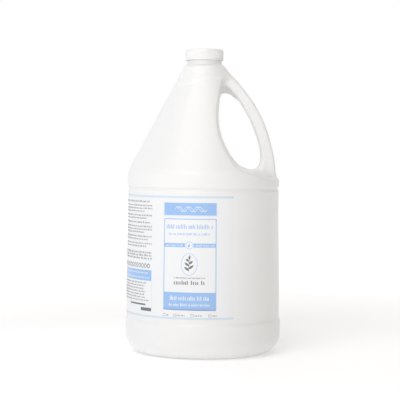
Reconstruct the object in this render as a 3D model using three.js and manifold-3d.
// A one-gallon round plastic jug with a hollow handle, its screw cap, the cap's
// foam liner and the film label wrapped round its side. Millimetres, +Z up.
// The origin is the middle of the footprint, on the surface the jug stands on.
// The handle points along +X, and -Y is the front, so an angle round the jug is
// counted from the front towards the handle.

import * as THREE from 'three';
import { mergeVertices } from 'three/addons/utils/BufferGeometryUtils.js';
import Module from 'manifold-3d';

// ---- driving dimensions -------------------------------------------------

const SEGMENTS = 60;              // flats round every turned surface
const WALL = 1.2;                 // blow-moulded wall

// body, from the foot up
const FOOT_R = 60.8;              // outer edge of the ring the jug stands on
const FOOT_RING_WIDTH = 7;
const PUSH_UP = 6;                // how far the base is domed inwards
const BASE_CORNER_R = 19;
const LOWER_BAND_R = 79.9;
const LOWER_BAND_TOP = 34.5;
const PANEL_BOTTOM_R = 78.8;      // recessed panel that the label lies in, swollen by its load
const PANEL_TOP_R = 77.6;
const PANEL_BOTTOM = 36.5;
const PANEL_TOP = 165.5;
const GROOVE_R = 76.8;
const SHOULDER_R = 78;
const SHOULDER_BOTTOM = 171;
const SHOULDER_TOP = 183.5;
const CONE_BOTTOM = { r: 74.4, z: 193 };
const CONE_TOP = { r: 27.8, z: 280 };
const CONE_END = { r: 21.2, z: 292.8 };

// neck finish: 38 mm, one turn of thread, six turns to the inch
const COLLAR_R = 17.7;
const COLLAR_BOTTOM = 295;
const COLLAR_TOP = 299.6;
const NECK_R = 17.5;
const NECK_THREAD_START = 301.5;  // middle of the thread's lower end
const NECK_TOP = 308.1;
const BORE_R = 15.2;
const THREAD_PITCH = 25.4 / 6;
const NECK_THREAD_CREST_R = 18.6;
const NECK_THREAD_BASE = 2.2;     // thread's height along Z where it leaves the wall
const NECK_THREAD_LAND = 1.0;     // and at its crest
const THREAD_ROOT = 0.25;         // how deep a thread's ridge is rooted in its wall
const THREAD_RUN_OUT = 0.08;      // turns
const NECK_THREAD_TURNS = [0, 1.1];
const CAP_THREAD_TURNS = [0.45, 1.45];

// handle and the pocket behind it
const HANDLE_WIDTH = 24;
const HANDLE_ROUNDING = 5.4;
const WEB_WIDTH = 6;
const POCKET_REACH = 95;          // how far the pocket's cutter runs each way along Y
const POCKET_DRAFT = 3;           // degrees

// cap and liner
const CAP_BOTTOM = 300.1;
const CAP_TOP = 311.1;
const CAP_RIM_R = 19.45;
const CAP_BEAD_R = 19.7;
const CAP_BEAD_HEIGHT = 1.5;
const CAP_RIB_R = 19.6;
const CAP_RIB_ROOT_R = 19.2;
const CAP_RIBS = 100;
const CAP_EDGE_R = 1.4;
const CAP_PANEL = 1.4;            // thickness of the cap's flat top
const CAP_INNER_R = 18.95;
const CAP_THREAD_CREST_R = 17.9;
const CAP_THREAD_BASE = 1.3;
const CAP_THREAD_LAND = 0.6;
const LINER_R = 18.4;
const LINER_THICKNESS = 1;
const GAP = 0.3;                  // left between pieces that touch
const MERGE = 0.02;               // slivers narrower than this are merged away

// label, in degrees from the front towards the handle
const LABEL_RIGHT = 22.5;
const LABEL_LEFT = -120;
const LABEL_BOTTOM = 41;
const LABEL_TOP = 163;
const LABEL_THICKNESS = 0.2;

const wasm = await Module();
wasm.setup();

// ---- helpers ------------------------------------------------------------

const degrees = THREE.MathUtils.degToRad;
const at = (x, y) => new THREE.Vector2(x, y);

// A closed geometry becomes a solid once only its positions are left and
// triangles that shrank to a line at the axis are dropped.
function solid(geometry) {
  const bare = geometry.clone();
  bare.deleteAttribute('normal');
  bare.deleteAttribute('uv');
  const merged = mergeVertices(bare, 1e-4);
  const index = merged.index.array;
  const kept = [];
  for (let i = 0; i < index.length; i += 3) {
    const [a, b, c] = [index[i], index[i + 1], index[i + 2]];
    if (a !== b && b !== c && c !== a) kept.push(a, b, c);
  }
  return new wasm.Manifold(new wasm.Mesh({
    numProp: 3,
    vertProperties: new Float32Array(merged.attributes.position.array),
    triVerts: new Uint32Array(kept),
  }));
}

function geometryOf(manifold) {
  const mesh = manifold.getMesh();
  const geometry = new THREE.BufferGeometry();
  const positions = new THREE.BufferAttribute(mesh.vertProperties, 3);
  geometry.setAttribute('position', positions);
  geometry.setIndex(new THREE.BufferAttribute(mesh.triVerts, 1));
  geometry.computeVertexNormals();
  return geometry;
}

// Turns a profile of (radius, height) points about Z, starting at the front.
function turned(profile) {
  return new THREE.LatheGeometry(profile, SEGMENTS).rotateX(Math.PI / 2);
}

// Points on an arc, from one angle to another in degrees, both ends included.
function arc(x, y, radius, from, to, steps) {
  const points = [];
  for (let i = 0; i <= steps; i++) {
    const angle = degrees(from + (to - from) * i / steps);
    points.push(at(x + radius * Math.cos(angle), y + radius * Math.sin(angle)));
  }
  return points;
}

// A prism whose outline lies in the XZ plane, centred on Y = 0.
function acrossY(outline, depth, bevel) {
  const geometry = new THREE.ExtrudeGeometry(outline, { depth, ...bevel });
  return geometry.translate(0, 0, -depth / 2).rotateX(Math.PI / 2);
}

// A helical thread: a straight ridge bent round Z, rooted a little way inside
// its wall. It sinks into the wall over the run-out at each end. The first and
// last turns are counted from the front. An outward ridge has its section
// turned over, so that its faces still point out once it is bent.
function thread({ wallR, crestR, base, land, zAtFront, firstTurn, lastTurn }) {
  const outwards = Math.sign(crestR - wallR);
  const rootR = wallR - outwards * THREAD_ROOT;
  const section = new THREE.Shape([at(0, -base / 2), at(1, -land / 2), at(1, land / 2), at(0, base / 2)]);
  const turns = lastTurn - firstTurn;
  const steps = Math.round(turns * SEGMENTS);
  const geometry = new THREE.ExtrudeGeometry(section, { depth: turns, steps, bevelEnabled: false });
  const position = geometry.attributes.position;
  for (let i = 0; i < position.count; i++) {
    const along = position.getZ(i);
    const fade = Math.min(1, 0.05 + Math.min(along, turns - along) / THREAD_RUN_OUT);
    const radius = rootR + position.getX(i) * fade * (crestR - rootR);
    const turn = firstTurn + along;
    const angle = 2 * Math.PI * (turn + 0.5 / SEGMENTS);
    position.setXYZ(
      i,
      radius * Math.sin(angle),
      -radius * Math.cos(angle),
      zAtFront + turn * THREAD_PITCH - outwards * position.getY(i),
    );
  }
  return solid(geometry);
}

// ---- the jug --------------------------------------------------------------

// The outside of the body (inset 0) or the inside of its wall (inset WALL).
function bodyProfile(inset) {
  const ringInner = FOOT_R - FOOT_RING_WIDTH;
  const slope = Math.atan2(CONE_BOTTOM.r - CONE_TOP.r, CONE_TOP.z - CONE_BOTTOM.z);
  const across = inset / Math.cos(slope);
  return [
    at(0, PUSH_UP + inset),
    at(ringInner - 5 - inset, PUSH_UP / 2 + inset),
    at(ringInner - inset, inset),
    ...arc(FOOT_R, BASE_CORNER_R, BASE_CORNER_R - inset, -90, 0, 6),
    at(LOWER_BAND_R - inset, LOWER_BAND_TOP),
    at(PANEL_BOTTOM_R - inset, PANEL_BOTTOM),
    at(PANEL_TOP_R - inset, PANEL_TOP),
    at(GROOVE_R - inset, PANEL_TOP + 1.5),
    at(GROOVE_R - inset, SHOULDER_BOTTOM - 2),
    at(SHOULDER_R - inset, SHOULDER_BOTTOM),
    at(SHOULDER_R - inset, SHOULDER_TOP),
    at(SHOULDER_R - 1.2 - inset, SHOULDER_TOP + 5),
    at(CONE_BOTTOM.r - across, CONE_BOTTOM.z),
    at(CONE_TOP.r - across, CONE_TOP.z),
    at(CONE_END.r - across, CONE_END.z),
  ];
}

function outside() {
  return solid(turned([
    ...bodyProfile(0),
    at(20, 294.5),
    at(COLLAR_R, COLLAR_BOTTOM),
    at(COLLAR_R, COLLAR_TOP),
    at(NECK_R, COLLAR_TOP + 0.2),
    at(NECK_R, NECK_TOP - 0.5),
    at(NECK_R - 0.5, NECK_TOP),
    at(0, NECK_TOP),
  ]));
}

function inside() {
  return solid(turned([
    ...bodyProfile(WALL),
    at(BORE_R, COLLAR_BOTTOM + 1),
    at(BORE_R, NECK_TOP + 5),
    at(0, NECK_TOP + 5),
  ]));
}

// The space the fingers reach through: the cone is cut back to a column under
// the neck, and to a ledge that the foot of the handle stands on.
function pocket(grow) {
  const wall = new THREE.SplineCurve([
    at(19.5, 277),
    at(16, 258),
    at(15.2, 240),
    at(21.3, 215.7),
    at(32, 197.5),
    at(46, 187),
    at(62, 181),
    at(80, 176.5),
  ]);
  const outline = new THREE.Shape([
    at(31, 279),
    at(23, 280),
    ...wall.getPoints(18),
    at(110, 172),
    at(110, 279),
  ]);
  const widening = POCKET_REACH * Math.tan(degrees(POCKET_DRAFT));
  return solid(acrossY(outline, 1, {
    bevelThickness: POCKET_REACH,
    bevelSize: -widening,
    bevelOffset: widening + grow,
    bevelSegments: 1,
  }));
}

// The handle as a ring round the finger hole. Apart from the grip itself the
// ring is buried: in the column on its inner side, in the shoulder at its foot.
function handle(inset) {
  const outer = new THREE.SplineCurve([
    at(19.4, 294),
    at(35.5, 277.9),
    at(49.6, 259.5),
    at(60.9, 238.9),
    at(68.4, 218),
    at(72.4, 200),
    at(74, 187),
    at(76, 177),
  ]);
  const outline = new THREE.Shape([
    ...outer.getPoints(18),
    at(72, 166),
    at(20, 170),
    at(-10, 230),
    at(-10, 284),
    at(10, 293.5),
  ]);
  const inner = new THREE.SplineCurve([
    at(30.5, 265),
    at(24.5, 272),
    at(17, 279),
    at(9, 268),
    at(8, 240),
    at(15, 213),
    at(27, 195),
    at(42, 186),
    at(52.5, 189.5),
    at(57.6, 196.5),
    at(58.2, 204),
    at(56, 216),
    at(48.8, 236.6),
    at(37, 257),
    at(30.5, 265),
  ]);
  outline.holes.push(new THREE.Path(inner.getPoints(42).slice(0, -1)));
  return solid(acrossY(outline, HANDLE_WIDTH - 2 * HANDLE_ROUNDING, {
    bevelThickness: HANDLE_ROUNDING - inset,
    bevelSize: HANDLE_ROUNDING - inset,
    bevelOffset: -HANDLE_ROUNDING,
    bevelSegments: 3,
  }));
}

// Where the grip leaves the column, the mould pinches the corner of the finger
// hole into a web.
function web() {
  const outline = new THREE.Shape([
    at(12, 266.2),
    at(23, 267),
    at(30, 264.8),
    at(36, 262),
    at(32, 273),
    at(22, 281),
    at(12, 281),
  ]);
  return solid(acrossY(outline, WEB_WIDTH, { bevelEnabled: false }));
}

function bottle() {
  const ridge = thread({
    wallR: NECK_R,
    crestR: NECK_THREAD_CREST_R,
    base: NECK_THREAD_BASE,
    land: NECK_THREAD_LAND,
    zAtFront: NECK_THREAD_START,
    firstTurn: NECK_THREAD_TURNS[0],
    lastTurn: NECK_THREAD_TURNS[1],
  });
  const shell = outside().subtract(pocket(0)).add(handle(0)).add(web()).add(ridge);
  const hollow = inside().subtract(pocket(WALL)).add(handle(WALL));
  return shell.subtract(hollow).asOriginal().simplify(MERGE);
}

// ---- cap and liner ----------------------------------------------------------

function cap() {
  const underPanel = CAP_TOP - CAP_PANEL;
  const blank = solid(turned([
    at(0, CAP_BOTTOM),
    at(CAP_BEAD_R - 0.3, CAP_BOTTOM),
    at(CAP_BEAD_R, CAP_BOTTOM + 0.4),
    at(CAP_BEAD_R, CAP_BOTTOM + CAP_BEAD_HEIGHT),
    at(CAP_RIM_R - 0.1, CAP_BOTTOM + CAP_BEAD_HEIGHT + 0.4),
    at(CAP_RIM_R, CAP_TOP - CAP_EDGE_R - 0.8),
    ...arc(CAP_RIM_R - CAP_EDGE_R, CAP_TOP - CAP_EDGE_R, CAP_EDGE_R, 0, 90, 3),
    at(0, CAP_TOP),
  ]));
  const ribOutline = new THREE.Shape();
  for (let i = 0; i < CAP_RIBS * 2; i++) {
    const radius = i % 2 ? CAP_RIB_ROOT_R : CAP_RIB_R;
    const angle = (i + 0.5) * Math.PI / CAP_RIBS;
    const corner = [radius * Math.cos(angle), radius * Math.sin(angle)];
    if (i === 0) ribOutline.moveTo(...corner);
    else ribOutline.lineTo(...corner);
  }
  const ribTop = CAP_TOP - CAP_EDGE_R - 0.9;
  const ribBottom = CAP_BOTTOM + CAP_BEAD_HEIGHT - 0.5;
  const ribs = new THREE.ExtrudeGeometry(ribOutline, {
    depth: ribTop - ribBottom,
    bevelEnabled: false,
  }).translate(0, 0, ribBottom);
  const bore = solid(turned([
    at(0, CAP_BOTTOM - 1),
    at(CAP_INNER_R, CAP_BOTTOM - 1),
    at(CAP_INNER_R, underPanel),
    at(0, underPanel),
  ]));
  const ridge = thread({
    wallR: CAP_INNER_R,
    crestR: CAP_THREAD_CREST_R,
    base: CAP_THREAD_BASE,
    land: CAP_THREAD_LAND,
    zAtFront: NECK_THREAD_START - THREAD_PITCH / 2,
    firstTurn: CAP_THREAD_TURNS[0],
    lastTurn: CAP_THREAD_TURNS[1],
  });
  return blank.add(solid(ribs)).subtract(bore).add(ridge).asOriginal().simplify(MERGE);
}

function liner() {
  const bottom = NECK_TOP + GAP;
  return solid(turned([
    at(0, bottom),
    at(LINER_R, bottom),
    at(LINER_R, bottom + LINER_THICKNESS),
    at(0, bottom + LINER_THICKNESS),
  ]));
}

// ---- label --------------------------------------------------------------------

// Radius of a turned surface's flat at an angle, in degrees.
function flatRadius(radius, angle) {
  const step = 360 / SEGMENTS;
  const fromMiddle = angle - (Math.floor(angle / step) + 0.5) * step;
  return radius * Math.cos(degrees(step / 2)) / Math.cos(degrees(fromMiddle));
}

// The film's inner radius, just clear of the panel, at a height.
function filmRadius(z) {
  return THREE.MathUtils.mapLinear(z, PANEL_BOTTOM, PANEL_TOP, PANEL_BOTTOM_R, PANEL_TOP_R) + GAP;
}

function label() {
  const step = 360 / SEGMENTS;
  const angles = [LABEL_LEFT];
  for (let k = Math.floor(LABEL_LEFT / step) + 1; k * step < LABEL_RIGHT; k++) {
    angles.push(k * step);
  }
  angles.push(LABEL_RIGHT);
  const edge = (radius, angle) => at(
    flatRadius(radius, angle) * Math.sin(degrees(angle)),
    -flatRadius(radius, angle) * Math.cos(degrees(angle)),
  );
  const back = filmRadius(LABEL_BOTTOM);
  const outline = new THREE.Shape([
    ...angles.map((angle) => edge(back + LABEL_THICKNESS, angle)),
    ...angles.reverse().map((angle) => edge(back, angle)),
  ]);
  const film = new THREE.ExtrudeGeometry(outline, {
    depth: LABEL_TOP - LABEL_BOTTOM,
    bevelEnabled: false,
  });
  // the film narrows with the panel from its lower edge to its upper edge
  const narrowing = filmRadius(LABEL_TOP) / back;
  const corners = film.attributes.position;
  for (let i = 0; i < corners.count; i++) {
    if (corners.getZ(i) > 0) {
      corners.setX(i, corners.getX(i) * narrowing);
      corners.setY(i, corners.getY(i) * narrowing);
    }
  }
  return solid(film.translate(0, 0, LABEL_BOTTOM));
}

// ---- assembly -------------------------------------------------------------------

function piece(name, manifold, color, roughness) {
  const material = new THREE.MeshStandardMaterial({ color, roughness, metalness: 0 });
  const mesh = new THREE.Mesh(geometryOf(manifold), material);
  mesh.name = name;
  return mesh;
}

const jug = new THREE.Group();
jug.add(piece('bottle', bottle(), 0xf2f2ef, 0.45));
jug.add(piece('label', label(), 0xf4f5f8, 0.35));

const closure = new THREE.Group();
closure.add(piece('screw_cap', cap(), 0xf4f4f2, 0.4));
closure.add(piece('cap_liner', liner(), 0xefefec, 0.8));
jug.add(closure);

export default jug;
